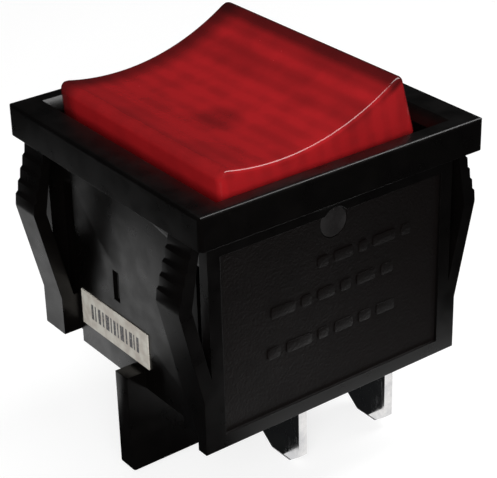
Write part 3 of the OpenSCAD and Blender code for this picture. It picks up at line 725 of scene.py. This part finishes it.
class ROCKER_OT_plungers(bpy.types.Operator):
    """Dresses the two plungers and their springs"""
    bl_idname = "rocker.plungers"
    bl_label = "Plungers"

    def execute(self, context):
        dress(["plunger_a", "plunger_b"], "Plunger brass")
        dress(["plunger_spring_a", "plunger_spring_b"], "Spring steel")
        return {"FINISHED"}


class ROCKER_OT_contacts(bpy.types.Operator):
    """Dresses the seesaw contact arms and all contact buttons"""
    bl_idname = "rocker.contacts"
    bl_label = "Contacts"

    def execute(self, context):
        dress(["contact_arm_a", "contact_arm_b"], "Copper strip")
        dress(["moving_button_a", "moving_button_b", "fixed_button_a", "fixed_button_b"], "Silver button")
        return {"FINISHED"}


class ROCKER_OT_terminals(bpy.types.Operator):
    """Dresses the four blade terminals with softened edges"""
    bl_idname = "rocker.terminals"
    bl_label = "Terminals"

    def execute(self, context):
        for node in ("common_terminal_a", "common_terminal_b", "load_terminal_a", "load_terminal_b"):
            refined(node, node.replace("terminal", "blade"), "Tinned tab", "base", 0.07 * MM)
        return {"FINISHED"}


class ROCKER_OT_label(bpy.types.Operator):
    """Dresses the paper label on the end wall"""
    bl_idname = "rocker.label"
    bl_label = "Label"

    def execute(self, context):
        refined("rating_label", "label_sticker", "Label paper", "base", 0.02 * MM, 1)
        return {"FINISHED"}


def unseen(piece, **keep):
    """Hides a stage card from every kind of ray but those named."""
    for kind in ("camera", "diffuse", "glossy", "transmission", "volume_scatter", "shadow"):
        setattr(piece, "visible_" + kind, keep.get(kind, False))


def glow_material(name, colour, strength):
    """Plain light-giving card."""
    material = bpy.data.materials.new(name)
    material.use_nodes = True
    tree = material.node_tree
    tree.nodes.clear()
    glow = add(tree, "ShaderNodeEmission", {"Color": (*colour, 1), "Strength": strength})
    end = add(tree, "ShaderNodeOutputMaterial")
    tree.links.new(glow.outputs[0], end.inputs["Surface"])
    return material


class ROCKER_OT_stage(bpy.types.Operator):
    """Sets the pale floor, the lights, the dark surround and the camera"""
    bl_idname = "rocker.stage"
    bl_label = "Stage"

    def execute(self, context):
        self.floor()
        self.surround()
        self.lights(context)
        self.camera(context)
        return {"FINISHED"}

    def floor(self):
        """A wide pale floor under the blades that stays white to the eye and to reflections."""
        ground = CAD_BOX[0][2]
        angle = np.linspace(0, 2 * math.pi, 97)[:-1]
        reach = np.array([0.0, 0.03, 0.1, 1.5])[:, None]
        points = np.stack([reach * np.cos(angle), reach * np.sin(angle), np.full((4, 96), ground)], -1)
        points = points.reshape(-1, 3)
        mesh = mesh_from("floor", points, ring_faces(4, 96).tolist())
        material = bpy.data.materials.new("Floor white")
        material.use_nodes = True
        tree = material.node_tree
        shader = tree.nodes["Principled BSDF"]
        place = add(tree, "ShaderNodeTexCoord").outputs["Object"]
        cloud = add(tree, "ShaderNodeTexNoise", {"Vector": place, "Scale": 30.0}).outputs["Fac"]
        colour = blend_colour(tree, cloud, (0.3, 0.3, 0.3, 1), (0.32, 0.32, 0.32, 1))
        tree.links.new(colour, shader.inputs["Base Color"])
        shader.inputs["Roughness"].default_value = 0.9
        shader.inputs["Specular IOR Level"].default_value = 0.0
        path = add(tree, "ShaderNodeLightPath")
        seen = maths(tree, "MAXIMUM", maths(tree, "MAXIMUM", path.outputs["Is Camera Ray"],
                                            path.outputs["Is Glossy Ray"]), path.outputs["Is Transmission Ray"])
        shader.inputs["Emission Color"].default_value = (1, 1, 1, 1)
        tree.links.new(maths(tree, "MULTIPLY", seen, 0.76), shader.inputs["Emission Strength"])
        floor = bpy.data.objects.new("floor", mesh)
        bpy.context.scene.collection.objects.link(floor)
        mesh.materials.append(material)

    def surround(self):
        """A dark dome and floor that only reflections meet, as a studio's black cards, and two white cards on
        the floor where the arms and the blades' edges mirror it."""
        rows, count = 24, 64
        rise = np.linspace(0, math.pi / 2, rows)[:, None]
        turn = np.linspace(0, 2 * math.pi, count + 1)[:-1][None, :]
        ground = CAD_BOX[0][2] + 0.1 * MM
        size = 0.6
        dome = np.stack([size * np.cos(rise) * np.cos(turn), size * np.cos(rise) * np.sin(turn),
                         ground + size * np.sin(rise) + 0 * turn], -1).reshape(-1, 3)
        ring = np.stack([0.001 * np.cos(turn[0]), 0.001 * np.sin(turn[0]), np.full(count, ground)], -1)
        points = np.concatenate([ring, dome])
        mesh = mesh_from("dark_surround", points, ring_faces(rows + 1, count).tolist())
        self.card("dark_surround", mesh, glow_material("Surround dark", (0.9, 0.95, 1.0), 0.01))
        back = ((-29.4, 23.5), (-21, 12), (-5, 12), (-5, 60), (-29.4, 60))
        front = ((-2, -21), (24, -21), (24, -5), (-2, -5))
        for name, corners, strength in (("white_card_back", back, 0.7), ("white_card_front", front, 1.0)):
            flat = np.column_stack([np.array(corners) * MM, np.full(len(corners), ground + 0.1 * MM)])
            self.card(name, mesh_from(name, flat, [list(range(len(corners)))]),
                      glow_material(name, (1, 1, 1), strength))

    def card(self, name, mesh, material):
        """A stage piece that only reflections meet."""
        card = bpy.data.objects.new(name, mesh)
        bpy.context.scene.collection.objects.link(card)
        mesh.materials.append(material)
        unseen(card, glossy=True)

    def lights(self, context):
        """A long soft light overhead on the right, a plain one from the front left, and a pale world."""
        for name, place, size, power, glossy in (
                ("key_light", (80, -25, 170), (0.26, 0.07), 0.3, True),
                ("front_light", (-120, -150, 70), (0.12, 0.12), 0.45, False)):
            data = bpy.data.lights.new(name, "AREA")
            data.shape = "RECTANGLE"
            data.size, data.size_y = size
            data.energy = power
            light = bpy.data.objects.new(name, data)
            light.visible_glossy = glossy
            context.scene.collection.objects.link(light)
            spot = Vector(place) * MM
            away = spot.normalized()
            side = Vector((0, 1, 0)).cross(away).normalized()
            turn = Matrix((side, away.cross(side), away)).transposed().to_4x4()
            light.matrix_world = Matrix.Translation(spot) @ turn
        world = bpy.data.worlds.new("Studio")
        context.scene.world = world
        world.use_nodes = True
        tree = world.node_tree
        back = tree.nodes["Background"]
        path = add(tree, "ShaderNodeLightPath")
        seen = maths(tree, "MAXIMUM", maths(tree, "MAXIMUM", path.outputs["Is Camera Ray"],
                                            path.outputs["Is Glossy Ray"]), path.outputs["Is Transmission Ray"])
        tree.links.new(remap(tree, seen, 0, 1, 0.25, 1.0, False), back.inputs["Strength"])
        back.inputs["Color"].default_value = (1, 1, 1, 1)

    def camera(self, context):
        """The viewing place and lens."""
        right = Vector((0.79800454, -0.60221653, -0.02289117))
        up = Vector((0.29793436, 0.3612092, 0.88360796))
        back = Vector((-0.52385482, -0.71194323, 0.46766758))
        data = bpy.data.cameras.new("camera")
        data.sensor_width = 36
        data.sensor_fit = "HORIZONTAL"
        data.lens = 1676.0 / 497 * 36
        data.clip_start = 0.001
        data.clip_end = 10
        camera = bpy.data.objects.new("camera", data)
        context.scene.collection.objects.link(camera)
        turn = Matrix((right, up, back)).transposed().to_4x4()
        camera.matrix_world = Matrix.Translation(Vector((-68.28937, -93.25028, 52.79899)) * MM) @ turn
        context.scene.camera = camera
        view = context.scene.view_settings
        view.view_transform = "Standard"


class ROCKER_PT_panel(bpy.types.Panel):
    """Lists the settings and the steps"""
    bl_idname = "ROCKER_PT_panel"
    bl_label = "Rocker switch"
    bl_space_type = "VIEW_3D"
    bl_region_type = "UI"
    bl_category = "Rocker"

    def draw(self, context):
        for group in (context.scene.rocker_sizes, context.scene.rocker_finish):
            for key in group.__annotations__:
                self.layout.prop(group, key)
        for step in STEPS:
            self.layout.operator(step.bl_idname)


STEPS = (ROCKER_OT_materials, ROCKER_OT_housing, ROCKER_OT_rating_bars, ROCKER_OT_lens, ROCKER_OT_carrier,
         ROCKER_OT_lamp, ROCKER_OT_plungers, ROCKER_OT_contacts, ROCKER_OT_terminals, ROCKER_OT_label,
         ROCKER_OT_stage)
CLASSES = (RockerSizes, RockerFinish, *STEPS, ROCKER_PT_panel)


def register():
    for item in CLASSES:
        bpy.utils.register_class(item)
    bpy.types.Scene.rocker_sizes = bpy.props.PointerProperty(type=RockerSizes)
    bpy.types.Scene.rocker_finish = bpy.props.PointerProperty(type=RockerFinish)


def unregister():
    del bpy.types.Scene.rocker_finish
    del bpy.types.Scene.rocker_sizes
    for item in reversed(CLASSES):
        bpy.utils.unregister_class(item)


def main():
    register()
    for step in STEPS:
        group, name = step.bl_idname.split(".")
        getattr(getattr(bpy.ops, group), name)()


if __name__ == "__main__":
    main()
